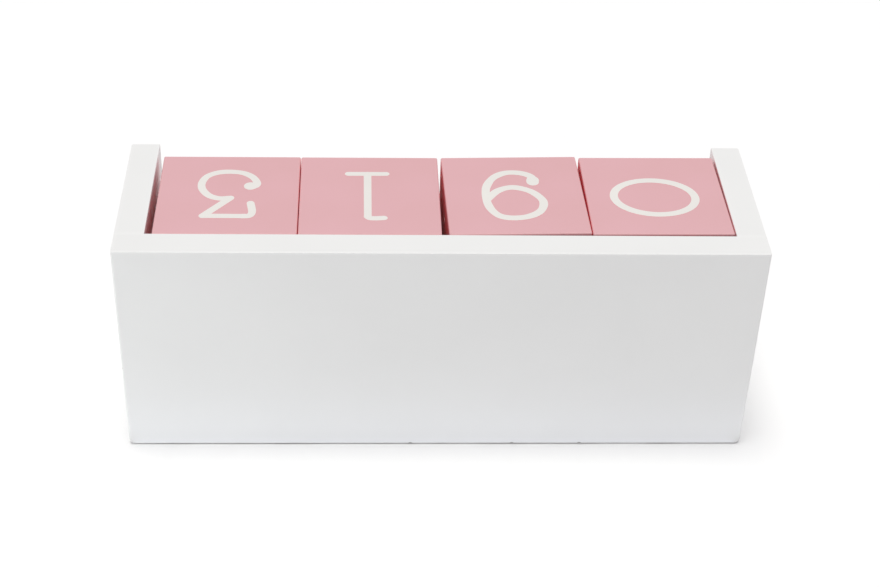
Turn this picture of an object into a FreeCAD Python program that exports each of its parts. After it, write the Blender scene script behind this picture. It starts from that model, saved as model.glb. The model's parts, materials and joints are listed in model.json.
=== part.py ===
"""Perpetual desk calendar: four numbered cubes stand in a painted board box, above a shallow drawer.

Frame: +Z up, the drawer opens towards -Y, and +X is to the right of someone facing the drawer.
The origin is on the surface the calendar stands on, under the middle of the case's footprint.
All lengths are millimetres and all angles degrees.
"""
import FreeCAD, Part

import math
import os

# ---------------------------------------------------------------- cubes, listed from -X to +X
cube_names = ("month_tens_cube", "month_units_cube", "day_tens_cube", "day_units_cube")
cube_edge = 50.0
cube_ease = 0.6  # sanded radius on a cube's edges
cube_turns = (0.51, 1.64, 0.18, 0.17)  # how far each cube stands askew
cube_side_gaps = (0.20, 0.25, 1.28, 0.25)  # least gap on the -X side of each cube
cube_back_gaps = (1.25, 0.50, 0.32, 0.25)  # least gap between each cube and the back board

# ---------------------------------------------------------------- case boards
tray_slack = 5.6  # width that the row of cubes leaves free
tray_depth = 58.0  # from the back board's inner face to the case's front
side_thickness = 10.4
back_thickness = 11.2
shelf_thickness = 8.0
bottom_thickness = 6.0
rim_over_cubes = 0.35  # the rim stands this far above the cubes
edge_ease = 0.3  # sanded radius on the boards' long edges
upright_ease = 0.8  # larger radius on the case's upright outer corners
corner_ease = 2.4  # the largest, on the case's lower outer corners

# ---------------------------------------------------------------- drawer
drawer_front_height = 21.35
drawer_front_thickness = 9.0
front_reveal = 0.5  # gap all round the drawer's front
drawer_wall = 5.0  # thickness of the drawer's sides and back
drawer_wall_height = 18.0
drawer_side_gap = 0.7  # running gap beside the drawer
drawer_lift = 0.3  # running gap under the drawer
drawer_rear_gap = 0.3  # the closed drawer all but meets the back board
drawer_floor_thickness = 2.5
floor_groove_depth = 2.0
floor_lift = 2.0  # wall left under the floor's groove
front_rabbet = 5.0  # how far a drawer side is let into the front

# ---------------------------------------------------------------- knob, its screw and washer
knob_reach = 13.0
knob_head_diameter = 15.0
knob_head_length = 7.0
knob_neck_diameter = 7.0
knob_foot_diameter = 9.5
knob_foot_length = 1.6
knob_cheek = 1.6  # radius round the rim of the knob's head
knob_crown = 0.8  # height of the dome on the knob's face
screw_diameter = 3.0
screw_bite = 7.5  # length of thread inside the knob
screw_head_diameter = 6.0
screw_head_height = 1.8
screw_slot_width = 0.8
screw_slot_depth = 0.8
washer_diameter = 8.0
washer_thickness = 0.6

# ---------------------------------------------------------------- brads
brad_diameter = 1.2
brad_length = 22.0
brad_sink = 0.9  # filler over a brad's head
drawer_brad_diameter = 1.0
drawer_brad_length = 11.0
drawer_brad_sink = 0.45
brad_head_ratio = 1.7  # a head's diameter over its shank's
brad_head_height = 0.6

# ---------------------------------------------------------------- fits
hole_fit = 0.02  # radial room round a driven brad or a screw's thread
screw_hole_fit = 0.25  # radial room round the screw in the drawer's front and in the washer
groove_fit = 0.1  # room round the drawer's floor in its grooves

# ---------------------------------------------------------------- places that follow
inner_half = (len(cube_names) * cube_edge + tray_slack) / 2
case_half = inner_half + side_thickness
y_back = (back_thickness + tray_depth) / 2
y_inner = y_back - back_thickness
y_front = y_inner - tray_depth

z_floor = bottom_thickness
z_ceiling = z_floor + drawer_front_height + 2 * front_reveal
z_shelf = z_ceiling + shelf_thickness
z_rim = z_shelf + cube_edge + rim_over_cubes

drawer_half = inner_half - drawer_side_gap
front_half = inner_half - front_reveal
z_front = z_floor + front_reveal
z_knob = z_front + drawer_front_height / 2
z_drawer = z_floor + drawer_lift
z_wall_top = z_drawer + drawer_wall_height
z_drawer_floor = z_drawer + floor_lift
z_floor_top = z_drawer_floor + drawer_floor_thickness
y_drawer_rear = y_inner - drawer_rear_gap
y_front_inside = y_front + drawer_front_thickness
y_rabbet = y_front_inside - front_rabbet

beyond = 1.0  # how far a cutting block runs past what it cuts
X = FreeCAD.Vector(1, 0, 0)
Y = FreeCAD.Vector(0, 1, 0)
Z = FreeCAD.Vector(0, 0, 1)


# ---------------------------------------------------------------- helpers
def block(x0, x1, y0, y1, z0, z1):
    """A box between two corners; the two x values may come in either order."""
    return Part.makeBox(abs(x1 - x0), y1 - y0, z1 - z0, FreeCAD.Vector(min(x0, x1), y0, z0))


def rod(radius, start, direction, length):
    """A round bar that runs from start along direction."""
    return Part.makeCylinder(radius, length, start, direction)


def near(a, b):
    """True if two coordinates are the same place."""
    return abs(a - b) < 1e-4


def along(direction, axis):
    """True if a direction lies along an axis."""
    return abs(direction.dot(axis)) > 0.999


def eased(shape, radius, chosen):
    """Rounds the straight edges for which chosen(middle, direction) is true."""
    edges = []
    for edge in shape.Edges:
        if isinstance(edge.Curve, (Part.Line, Part.LineSegment)):
            middle = edge.valueAt((edge.FirstParameter + edge.LastParameter) / 2)
            if chosen(middle, edge.tangentAt(edge.FirstParameter)):
                edges.append(edge)
    return shape.makeFillet(radius, edges)


def turned(profile, foot, axis):
    """A solid turned about the axis through foot.

    Each item of the profile is a (radius, distance) point, or a pair of such points: the middle and
    the end of an arc. The profile closes along the axis.
    """
    def place(point):
        return foot + Z * point[0] + axis * point[1]

    edges = []
    last = profile[0]
    for item in profile[1:]:
        if isinstance(item[0], tuple):
            middle, end = item
            edges.append(Part.Arc(place(last), place(middle), place(end)).toShape())
        else:
            end = item
            edges.append(Part.makeLine(place(last), place(end)))
        last = end
    edges.append(Part.makeLine(place(last), place(profile[0])))
    return Part.Face(Part.Wire(edges)).revolve(foot, axis, 360)


def spread(low, high, count):
    """Places for count fasteners between low and high, with half a space left at each end."""
    step = (high - low) / count
    return [low + step * (i + 0.5) for i in range(count)]


# ---------------------------------------------------------------- brads
def brad(head, direction, diameter, length, room=0.0):
    """A headed brad driven from head along direction, or with room round it, the hole that takes it."""
    shank = rod(diameter / 2 + room, head, direction, length + room)
    return shank.fuse(rod(diameter * brad_head_ratio / 2 + room, head, direction, brad_head_height + room))


def case_brads(places, room=0.0):
    """The case's brads, or their holes, at (head, direction) places."""
    return [brad(head, direction, brad_diameter, brad_length, room) for head, direction in places]


def drawer_brads(room=0.0):
    """The drawer's brads, or their holes."""
    places = drawer_brad_places()
    return [brad(head, way, drawer_brad_diameter, drawer_brad_length, room) for head, way in places]


def back_brad_places():
    """Brads driven through the back board into the side boards, the shelf and the bottom board."""
    y = y_back - brad_sink
    places = []
    for x in (-case_half + side_thickness / 2, case_half - side_thickness / 2):
        places += [(FreeCAD.Vector(x, y, z), -Y) for z in spread(bottom_thickness, z_rim, 3)]
    for z in (bottom_thickness / 2, z_ceiling + shelf_thickness / 2):
        places += [(FreeCAD.Vector(x, y, z), -Y) for x in spread(-inner_half, inner_half, 3)]
    return places


def end_brad_places(z):
    """Brads driven through both side boards into the ends of a board whose middle is at height z."""
    places = []
    for side in (-1, 1):
        x = side * (case_half - brad_sink)
        places += [(FreeCAD.Vector(x, y, z), X * -side) for y in spread(y_front, y_inner, 2)]
    return places


def drawer_brad_places():
    """Brads through the drawer's sides into its front and back, and up through its floor into its back."""
    y_rear_wall = y_drawer_rear - drawer_wall / 2
    places = []
    for side in (-1, 1):
        x = side * (drawer_half - drawer_brad_sink)
        for y in (y_front_inside - front_rabbet / 2, y_rear_wall):
            places += [(FreeCAD.Vector(x, y, z), X * -side) for z in spread(z_floor_top, z_wall_top, 2)]
    for x in spread(-inner_half, inner_half, 3):
        places.append((FreeCAD.Vector(x, y_rear_wall, z_drawer_floor), Z))
    return places


def make_brads():
    """Four groups of brads, one for each stage of nailing up."""
    shelf_middle = z_ceiling + shelf_thickness / 2
    return {
        "back_board_brads": Part.makeCompound(case_brads(back_brad_places())),
        "shelf_brads": Part.makeCompound(case_brads(end_brad_places(shelf_middle))),
        "bottom_board_brads": Part.makeCompound(case_brads(end_brad_places(bottom_thickness / 2))),
        "drawer_brads": Part.makeCompound(drawer_brads()),
    }


# ---------------------------------------------------------------- case
def case_shell():
    """The back board and both side boards in one, with their edges eased, before the joints part them."""
    shell = block(-case_half, case_half, y_front, y_back, 0, z_rim)
    shell = shell.cut(block(-inner_half, inner_half, y_front - beyond, y_inner, -beyond, z_rim + beyond))

    def lower_corner(middle, direction):
        return near(abs(middle.x), case_half) and near(middle.z, 0)

    def upright_corner(middle, direction):
        return near(abs(middle.x), case_half) and along(direction, Z)

    def long_edge(middle, direction):
        front_inner = along(direction, Z) and near(middle.y, y_front)
        return near(middle.z, z_rim) or front_inner

    shell = eased(shell, min(corner_ease, 0.45 * side_thickness), lower_corner)
    shell = eased(shell, min(upright_ease, 0.4 * side_thickness), upright_corner)
    return eased(shell, min(edge_ease, 0.3 * side_thickness), long_edge)


def make_case():
    """The five boards of the case, each with the holes that its brads make."""
    shell = case_shell()
    low, high = -beyond, z_rim + beyond
    boards = {
        "back_board": shell.common(block(-case_half, case_half, y_inner, y_back, low, high)),
        "left_side_board": shell.common(block(-case_half, 0, y_front, y_inner, low, high)),
        "right_side_board": shell.common(block(0, case_half, y_front, y_inner, low, high)),
    }
    for name, bottom, thickness in (
        ("cube_shelf", z_ceiling, shelf_thickness),
        ("bottom_board", 0, bottom_thickness),
    ):
        board = block(-inner_half, inner_half, y_front, y_inner, bottom, bottom + thickness)
        nose = min(edge_ease, 0.3 * thickness)
        boards[name] = eased(board, nose, lambda middle, way: along(way, X) and near(middle.y, y_front))

    places = back_brad_places() + end_brad_places(z_ceiling + shelf_thickness / 2)
    holes = Part.makeCompound(case_brads(places + end_brad_places(bottom_thickness / 2), hole_fit))
    return {name: board.cut(holes) for name, board in boards.items()}


# ---------------------------------------------------------------- drawer
def drawer_floor(room=0.0):
    """The drawer's floor, or with room round it, the groove that takes it."""
    half = drawer_half - drawer_wall + floor_groove_depth + room
    y_start = y_front_inside - floor_groove_depth - room
    return block(-half, half, y_start, y_drawer_rear, z_drawer_floor - room, z_floor_top + room)


def screw_hole():
    """The clearance hole for the knob's screw, through the drawer's front and past the washer."""
    start = FreeCAD.Vector(0, y_front - beyond, z_knob)
    length = drawer_front_thickness + washer_thickness + 2 * beyond
    return rod(screw_diameter / 2 + screw_hole_fit, start, Y, length)


def make_drawer():
    """The drawer's front, sides, back and floor."""
    groove = drawer_floor(groove_fit)
    holes = Part.makeCompound(drawer_brads(hole_fit))
    front_top = z_front + drawer_front_height
    lip = drawer_front_thickness - front_rabbet

    front = block(-front_half, front_half, y_front, y_front_inside, z_front, front_top)
    front = eased(front, min(edge_ease, 0.3 * lip), lambda middle, way: near(middle.y, y_front))
    for side in (-1, 1):
        inside, outside = side * (drawer_half - drawer_wall), side * (front_half + beyond)
        end = y_front_inside + beyond
        front = front.cut(block(inside, outside, y_rabbet, end, z_front - beyond, front_top + beyond))
    pieces = {"drawer_front": front.cut(groove).cut(screw_hole()).cut(holes)}

    for name, side in (("drawer_left_side", -1), ("drawer_right_side", 1)):
        inside, outside = side * (drawer_half - drawer_wall), side * drawer_half
        wall = block(inside, outside, y_rabbet, y_drawer_rear, z_drawer, z_wall_top)
        rounding = min(edge_ease, 0.3 * drawer_wall)
        wall = eased(wall, rounding, lambda middle, way: along(way, Y) and near(middle.z, z_wall_top))
        pieces[name] = wall.cut(groove).cut(holes)

    rear_half = drawer_half - drawer_wall
    rear = block(-rear_half, rear_half, y_drawer_rear - drawer_wall, y_drawer_rear, z_floor_top, z_wall_top)
    pieces["drawer_back"] = rear.cut(holes)
    pieces["drawer_floor"] = drawer_floor().cut(holes)
    return pieces


def make_knob():
    """The knob: a foot, a hollow neck, and a head with a rounded rim and a domed face."""
    foot = FreeCAD.Vector(0, y_front, z_knob)
    head, neck, base = knob_head_diameter / 2, knob_neck_diameter / 2, knob_foot_diameter / 2
    cheek = min(knob_cheek, 0.4 * (knob_head_length - knob_crown))
    shoulder = knob_reach - knob_head_length
    face = knob_reach - knob_crown
    flat = head - cheek
    bulge = cheek * math.sqrt(0.5)
    dome = (flat ** 2 + knob_crown ** 2) / (2 * knob_crown)
    half_angle = math.asin(flat / dome) / 2
    dome_middle = (dome * math.sin(half_angle), knob_reach - dome * (1 - math.cos(half_angle)))
    knob = turned(
        [
            (0, 0),
            (base, 0),
            (base, knob_foot_length),
            ((neck, (knob_foot_length + shoulder) / 2), (flat, shoulder)),
            ((flat + bulge, shoulder + cheek - bulge), (head, shoulder + cheek)),
            (head, face - cheek),
            ((flat + bulge, face - cheek + bulge), (flat, face)),
            (dome_middle, (0, knob_reach)),
        ],
        foot,
        -Y,
    )
    return {"drawer_knob": knob.cut(rod(screw_diameter / 2 + hole_fit, foot, -Y, screw_bite + hole_fit))}


def make_screw():
    """The knob's slotted screw, driven from inside the drawer, and the washer under its head."""
    y_washer = y_front_inside + washer_thickness
    y_head = y_washer + screw_head_height
    tip = FreeCAD.Vector(0, y_front - screw_bite, z_knob)
    pan = rod(screw_head_diameter / 2, FreeCAD.Vector(0, y_washer, z_knob), Y, screw_head_height)
    top_edge = [edge for edge in pan.Edges if near(edge.BoundBox.YMin, y_head)]
    pan = pan.makeFillet(0.45 * screw_head_height, top_edge)
    screw = pan.fuse(rod(screw_diameter / 2, tip, Y, y_washer - tip.y))
    across, half = screw_head_diameter, screw_slot_width / 2
    slot = block(-across, across, y_head - screw_slot_depth, y_head + beyond, z_knob - half, z_knob + half)
    washer = rod(washer_diameter / 2, FreeCAD.Vector(0, y_front_inside, z_knob), Y, washer_thickness)
    return {"knob_screw": screw.cut(slot), "knob_washer": washer.cut(screw_hole())}


# ---------------------------------------------------------------- cubes
def cube_centres():
    """Middle of each cube in plan, worked out from its turn and its gaps to what stands beside it."""
    half = cube_edge / 2
    centres = []
    x = -inner_half
    last_cos, last_sin = 0.0, 0.0
    for turn, side_gap, back_gap in zip(cube_turns, cube_side_gaps, cube_back_gaps):
        cos, sin = math.cos(math.radians(turn)), math.sin(math.radians(turn))
        x += side_gap + half * (last_cos + cos + abs(sin - last_sin))
        centres.append((x, y_inner - back_gap - half * (cos + abs(sin))))
        last_cos, last_sin = cos, sin
    return centres


def make_cubes():
    """Four solid cubes with sanded edges, standing on the shelf."""
    half = cube_edge / 2
    cubes = {}
    for name, turn, (x, y) in zip(cube_names, cube_turns, cube_centres()):
        cube = block(-half, half, -half, half, 0, cube_edge)
        cube = cube.makeFillet(cube_ease, cube.Edges)
        cube.rotate(FreeCAD.Vector(0, 0, 0), Z, turn)
        cube.translate(FreeCAD.Vector(x, y, z_shelf))
        cubes[name] = cube
    return cubes


def main():
    """Builds every piece and writes one STEP file for each."""
    os.makedirs("parts", exist_ok=True)
    for make in (make_case, make_brads, make_drawer, make_knob, make_screw, make_cubes):
        for name, shape in make().items():
            shape.exportStep(f"parts/{name}.step")
            print(f"{name}: {len(shape.Solids)} solids, valid {shape.isValid()}, {shape.Volume:.1f} mm3")


main()
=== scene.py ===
"""Looks for a perpetual desk calendar: a painted board box, four number cubes and a shallow drawer.

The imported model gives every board, cube and fitting. This file paints them, prints the numbers on the
cubes' faces, and sets a pale floor, soft lamps and a camera around them. Lengths are metres unless a name
says otherwise, +Z is up, the drawer opens towards -Y, and +X is to the right of someone facing it.
"""

import json
import logging
import math
import random
from collections.abc import Iterable, Sequence
from dataclasses import dataclass, field, replace
from enum import Enum

import bpy
from bpy.types import ID, Material, Mesh, Node, NodeTree, Object
from bpy.types import NodeOutputs as Outputs, NodeSocket as Socket
from mathutils import Euler, Matrix, Vector
from mathutils.geometry import delaunay_2d_cdt

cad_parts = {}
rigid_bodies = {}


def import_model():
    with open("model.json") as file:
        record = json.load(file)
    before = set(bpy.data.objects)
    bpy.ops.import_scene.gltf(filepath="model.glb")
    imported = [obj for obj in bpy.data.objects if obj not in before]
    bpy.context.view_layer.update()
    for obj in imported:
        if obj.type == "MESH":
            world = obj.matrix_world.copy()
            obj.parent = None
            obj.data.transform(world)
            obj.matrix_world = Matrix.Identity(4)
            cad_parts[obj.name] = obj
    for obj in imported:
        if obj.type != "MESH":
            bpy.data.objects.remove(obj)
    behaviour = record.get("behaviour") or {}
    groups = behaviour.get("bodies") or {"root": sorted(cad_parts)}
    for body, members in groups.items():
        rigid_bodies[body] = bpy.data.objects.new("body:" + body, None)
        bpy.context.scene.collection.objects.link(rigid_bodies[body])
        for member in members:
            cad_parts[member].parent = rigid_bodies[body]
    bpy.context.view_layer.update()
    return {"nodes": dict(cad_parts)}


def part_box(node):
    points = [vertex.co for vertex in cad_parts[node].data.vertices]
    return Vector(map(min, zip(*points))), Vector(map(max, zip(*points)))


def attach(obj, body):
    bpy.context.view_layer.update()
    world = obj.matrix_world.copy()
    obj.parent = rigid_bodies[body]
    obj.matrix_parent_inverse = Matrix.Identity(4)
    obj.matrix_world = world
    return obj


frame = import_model()

log = logging.getLogger("desk_calendar")

MM = 0.001

Colour = tuple[float, float, float, float]
Triple = tuple[float, float, float]
Point = tuple[float, float]
Plug = object  # a socket to link from, or a plain value for a socket
Plugs = dict[str | int, Plug]
Pair = tuple[Plug, Plug]

FLOAT = "NodeSocketFloat"
VECTOR = "NodeSocketVector"
NOISE_SPAN = (0.3, 0.7)  # holds nearly all values of a noise


def paint_colour(*chart: int) -> Colour:
    """The linear colour that shaders use for a paint chart's red, green and blue from 0 to 255."""
    parts = [channel / 255 for channel in chart]
    return (*(c / 12.92 if c <= 0.04045 else ((c + 0.055) / 1.055) ** 2.4 for c in parts), 1.0)


def shaded(colour: Colour, share: float) -> Colour:
    """A colour made lighter or darker by a share of itself."""
    return (*(channel * share for channel in colour[:3]), colour[3])


def add_object(name: str, data: ID) -> Object:
    """Adds an object to the scene.

    Args:
        name: The object's name.
        data: Its mesh, light or camera.

    Returns:
        The new object, at the origin.
    """
    item = bpy.data.objects.new(name, data)
    bpy.context.scene.collection.objects.link(item)
    return item


# ---- node trees ----


class Bench:
    """Adds nodes to one tree and joins them."""

    def __init__(self, tree: NodeTree) -> None:
        """Keeps the tree to work on."""
        self.tree = tree

    def add(self, kind: str, plugs: Plugs | None = None, **settings: object) -> Node:
        """Adds a node.

        Args:
            kind: The node's type.
            plugs: A link or a plain value for each input, by the input's name or place.
            settings: The node's own properties.

        Returns:
            The new node.
        """
        node = self.tree.nodes.new(kind)
        for name, value in settings.items():
            setattr(node, name, value)
        for key, value in (plugs or {}).items():
            if isinstance(value, Socket):
                self.tree.links.new(value, node.inputs[key])
            else:
                node.inputs[key].default_value = value
        return node

    def get(self, kind: str, plugs: Plugs | None = None, **settings: object) -> Socket:
        """Adds a node and gives its first output."""
        return self.add(kind, plugs, **settings).outputs[0]

    def sum_up(self, operation: str, *values: Plug, clamp: bool = False) -> Socket:
        """The result of a Math node, whose inputs take the values in order."""
        return self.get("ShaderNodeMath", dict(enumerate(values)), operation=operation, use_clamp=clamp)

    def vector(self, operation: str, *values: Plug) -> Socket:
        """The vector of a Vector Math node, whose inputs take the values in order."""
        return self.get("ShaderNodeVectorMath", dict(enumerate(values)), operation=operation)

    def length(self, operation: str, *values: Plug) -> Socket:
        """The length or distance that a Vector Math node measures."""
        node = self.add("ShaderNodeVectorMath", dict(enumerate(values)), operation=operation)
        return node.outputs["Value"]

    def scaled(self, vector: Plug, factor: Plug) -> Socket:
        """A vector made longer or shorter by a factor."""
        return self.get("ShaderNodeVectorMath", {0: vector, "Scale": factor}, operation="SCALE")

    def parts(self, vector: Plug) -> Outputs:
        """A vector's three parts."""
        return self.add("ShaderNodeSeparateXYZ", {0: vector}).outputs

    def joined(self, x: Plug, y: Plug, z: Plug) -> Socket:
        """The vector that has these parts."""
        return self.get("ShaderNodeCombineXYZ", {0: x, 1: y, 2: z})

    def blend(self, share: Plug, first: Plug, second: Plug) -> Socket:
        """A colour that goes from the first to the second as the share goes from 0 to 1."""
        return self.add("ShaderNodeMix", {0: share, 6: first, 7: second}, data_type="RGBA").outputs[2]

    def remap(self, value: Plug, span: Pair, onto: Pair, kind: str = "LINEAR") -> Socket:
        """A value mapped from one span onto another, and held at the ends."""
        ends = {"From Min": span[0], "From Max": span[1], "To Min": onto[0], "To Max": onto[1]}
        return self.get("ShaderNodeMapRange", {"Value": value, **ends}, interpolation_type=kind)

    def rise(self, value: Plug, low: Plug, high: Plug) -> Socket:
        """Eases from 0 at low to 1 at high."""
        return self.remap(value, (low, high), (0.0, 1.0), "SMOOTHSTEP")

    def fall(self, value: Plug, low: Plug, high: Plug) -> Socket:
        """Eases from 1 at low to 0 at high."""
        return self.remap(value, (low, high), (1.0, 0.0), "SMOOTHSTEP")

    def noise(self, position: Plug, cells: Plug, layers: float, roughness: float) -> Socket:
        """Noise around a half, with so many cells to a metre and layers of finer ones."""
        plugs = {"Vector": position, "Scale": cells, "Detail": layers, "Roughness": roughness}
        return self.get("ShaderNodeTexNoise", plugs)

    def drift(self, position: Plug, cells: Plug, layers: float, roughness: float) -> Socket:
        """Noise around zero."""
        return self.sum_up("SUBTRACT", self.noise(position, cells, layers, roughness), 0.5)

    def mark(self, name: str, kind: str) -> Socket:
        """The value that a mesh's points carry under a name."""
        return self.get("GeometryNodeInputNamedAttribute", {"Name": name}, data_type=kind)


def add_inputs(tree: NodeTree, inputs: dict[str, tuple[str, Plug]]) -> None:
    """Gives a node group its inputs.

    Args:
        tree: The group's tree.
        inputs: Each input's type and usual value, by its name.
    """
    for name, (kind, usual) in inputs.items():
        socket = tree.interface.new_socket(name=name, in_out="INPUT", socket_type=kind)
        if usual is not None:
            socket.default_value = usual


class Effect:
    """A shader node group, built once and placed in each material that uses it."""

    made: dict[str, NodeTree] = {}
    name = "effect"
    inputs: dict[str, tuple[str, Plug]] = {}
    outputs: tuple[str, ...] = ()

    def wire(self, bench: Bench, given: Outputs) -> Plugs:
        """Builds the group's inside.

        Args:
            bench: The group's tree.
            given: The group's inputs.

        Returns:
            What feeds each of the group's outputs.
        """
        raise NotImplementedError

    def tree(self) -> NodeTree:
        """Builds the group on first use.

        Returns:
            The group's tree.
        """
        if self.name not in Effect.made:
            tree = bpy.data.node_groups.new(self.name, "ShaderNodeTree")
            add_inputs(tree, self.inputs)
            for name in self.outputs:
                tree.interface.new_socket(name=name, in_out="OUTPUT", socket_type=FLOAT)
            bench = Bench(tree)
            bench.add("NodeGroupOutput", self.wire(bench, bench.add("NodeGroupInput").outputs))
            Effect.made[self.name] = tree
        return Effect.made[self.name]

    def place(self, bench: Bench, **plugs: Plug) -> Outputs:
        """Adds the group to a tree; an underscore in the name of an input stands for a space."""
        titled = {name.replace("_", " ").title(): value for name, value in plugs.items()}
        return bench.add("ShaderNodeGroup", titled, node_tree=self.tree()).outputs


class EdgeBand(Effect):
    """How near a point lies to the edges of a box, for wear and for paint that thins there."""

    name = "Edge Band"
    inputs = {
        "Position": (VECTOR, None),
        "Low": (VECTOR, None),
        "High": (VECTOR, None),
        "Width": (FLOAT, 1.5 * MM),
        "Ragged": (FLOAT, 0.4 * MM),
    }
    outputs = ("Band",)
    ragged_cells = 240.0  # to a metre

    def wire(self, bench: Bench, given: Outputs) -> Plugs:
        """Takes the middle one of the distances to the box's three nearest faces.

        Args:
            bench: The group's tree.
            given: The group's inputs.

        Returns:
            The band, from 1 at an edge to 0.
        """
        place = given["Position"]
        above = bench.vector("SUBTRACT", place, given["Low"])
        below = bench.vector("SUBTRACT", given["High"], place)
        x, y, z = bench.parts(bench.vector("MINIMUM", above, below))
        smaller = bench.sum_up("MINIMUM", x, y)
        larger = bench.sum_up("MAXIMUM", x, y)
        middle = bench.sum_up("MAXIMUM", smaller, bench.sum_up("MINIMUM", larger, z))
        drift = bench.drift(place, self.ragged_cells, 3.0, 0.6)
        distance = bench.sum_up("MULTIPLY_ADD", drift, given["Ragged"], middle)
        return {"Band": bench.fall(distance, 0.0, given["Width"])}


class PaintFilm(Effect):
    """The skin of a rolled or sprayed coat: fine peel, slow clouding and a few dust nibs."""

    name = "Paint Film"
    inputs = {
        "Position": (VECTOR, None),
        "Cell": (FLOAT, 0.9 * MM),
        "Cloud Size": (FLOAT, 40 * MM),
        "Nib Spacing": (FLOAT, 9 * MM),
        "Nib Size": (FLOAT, 0.22 * MM),
    }
    outputs = ("Peel", "Cloud", "Nib")

    def wire(self, bench: Bench, given: Outputs) -> Plugs:
        """Layers noise at the size of the peel and of the clouding, and scatters nibs.

        Args:
            bench: The group's tree.
            given: The group's inputs.

        Returns:
            Peel around a half, and clouds and nibs from 0 to 1.
        """
        place = given["Position"]
        sizes = (given["Cell"], given["Cloud Size"], given["Nib Spacing"])
        peel_cells, cloud_cells, nib_cells = (bench.sum_up("DIVIDE", 1.0, size) for size in sizes)
        specks = bench.add("ShaderNodeTexVoronoi", {"Vector": place, "Scale": nib_cells})
        reach = bench.sum_up("MULTIPLY", given["Nib Size"], nib_cells)
        return {
            "Peel": bench.noise(place, peel_cells, 3.0, 0.55),
            "Cloud": bench.remap(bench.noise(place, cloud_cells, 3.0, 0.5), NOISE_SPAN, (0.0, 1.0)),
            "Nib": bench.fall(specks.outputs["Distance"], 0.0, reach),
        }


class Knocks(Effect):
    """Small chips along a band, where a coat has come away from what it covers."""

    name = "Knocks"
    inputs = {
        "Position": (VECTOR, None),
        "Band": (FLOAT, 0.0),
        "Size": (FLOAT, 0.8 * MM),
        "Share": (FLOAT, 0.1),
    }
    outputs = ("Chip",)
    gather_cells = 45.0  # to a metre, of the noise that gathers chips together
    gather = 0.5  # how strongly it does
    chip_rim = 0.03  # of the noise, from the edge of a chip to where the coat is gone
    band_span = (0.55, 0.8)  # of the band, where chips begin and where all of them are there

    def wire(self, bench: Bench, given: Outputs) -> Plugs:
        """Keeps the peaks of a noise where the band is strong.

        Args:
            bench: The group's tree.
            given: The group's inputs.

        Returns:
            The chips, 1 where the coat is gone.
        """
        place = given["Position"]
        fine = bench.noise(place, bench.sum_up("DIVIDE", 1.0, given["Size"]), 2.0, 0.6)
        coarse = bench.drift(place, self.gather_cells, 1.0, 0.5)
        peak = bench.sum_up("MULTIPLY_ADD", coarse, self.gather, fine)
        level = bench.sum_up("SUBTRACT", 1.0, given["Share"])
        mask = bench.rise(peak, level, bench.sum_up("ADD", level, self.chip_rim))
        return {"Chip": bench.sum_up("MULTIPLY", mask, bench.rise(given["Band"], *self.band_span))}


class WoodFigure(Effect):
    """Grain for a board sawn beside the heart: drawn-out rings that close on themselves, and fibres."""

    name = "Wood Figure"
    inputs = {
        "Position": (VECTOR, None),
        "Heart": (VECTOR, (0.0, 24 * MM, -70 * MM)),
        "Ring Width": (FLOAT, 3.2 * MM),
        "Stretch": (FLOAT, 14.0),
        "Sway": (FLOAT, 5 * MM),
    }
    outputs = ("Figure", "Fibre", "Pore")
    slow_cells = 22.0  # to a metre, as the next four are
    quick_cells = 90.0
    uneven_cells = 34.0
    fibre_cells = 1500.0
    pore_cells = 3200.0
    pore_span = (0.6, 0.74)  # of the noise, where pores begin and where they are full
    faintest = 0.35  # strength of the late wood where it is weakest
    quick_share = 0.16  # how much the quick drift counts beside the slow one
    along_heart = (0.02, 1.0, 1.0)  # how much each axis counts in the distance from the heart
    along_fibre = (0.3, 1.0, 1.0)  # likewise for fibres and pores
    late_start = 0.1  # where in a ring the late wood begins
    late_peak = 0.86  # where it is strongest

    def wire(self, bench: Bench, given: Outputs) -> Plugs:
        """Counts rings out from a heart that lies beside the board and wanders along it.

        Args:
            bench: The group's tree.
            given: The group's inputs.

        Returns:
            Figure from 0 in early wood to 1 in late wood, fibres around a half, and pores from 0 to 1.
        """
        place = given["Position"]
        shrink = bench.sum_up("DIVIDE", 1.0, given["Stretch"])
        drawn = bench.vector("MULTIPLY", place, bench.joined(shrink, 1.0, 1.0))
        slow = bench.drift(drawn, self.slow_cells, 2.0, 0.45)
        quick = bench.drift(drawn, self.quick_cells, 2.0, 0.5)
        wander = bench.sum_up("MULTIPLY_ADD", quick, self.quick_share, slow)
        from_heart = bench.vector("SUBTRACT", place, given["Heart"])
        radius = bench.length("LENGTH", bench.vector("MULTIPLY", from_heart, self.along_heart))
        sway = bench.sum_up("MULTIPLY", given["Sway"], 2.0)
        swayed = bench.sum_up("MULTIPLY_ADD", wander, sway, radius)
        ring = bench.sum_up("FRACT", bench.sum_up("DIVIDE", swayed, given["Ring Width"]))
        late = bench.rise(ring, self.late_start, self.late_peak)
        band = bench.sum_up("MULTIPLY", late, bench.fall(ring, self.late_peak, 1.0))
        patches = bench.noise(drawn, self.uneven_cells, 1.0, 0.5)
        uneven = bench.remap(patches, NOISE_SPAN, (self.faintest, 1.0))
        thin = bench.vector("MULTIPLY", drawn, self.along_fibre)
        return {
            "Figure": bench.sum_up("MULTIPLY", band, uneven),
            "Fibre": bench.noise(thin, self.fibre_cells, 3.0, 0.6),
            "Pore": bench.rise(bench.noise(thin, self.pore_cells, 1.0, 0.5), *self.pore_span),
        }


EDGE_BAND = EdgeBand()
PAINT_FILM = PaintFilm()
KNOCKS = Knocks()
WOOD_FIGURE = WoodFigure()


# ---- finishes ----


class Grain(Enum):
    """The axis that a board's grain runs along, as the turn that lays it on the figure's own X."""

    ALONG_X = (0.0, 0.0, 0.0)
    ALONG_Y = (0.0, 0.0, math.pi / 2)


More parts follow.
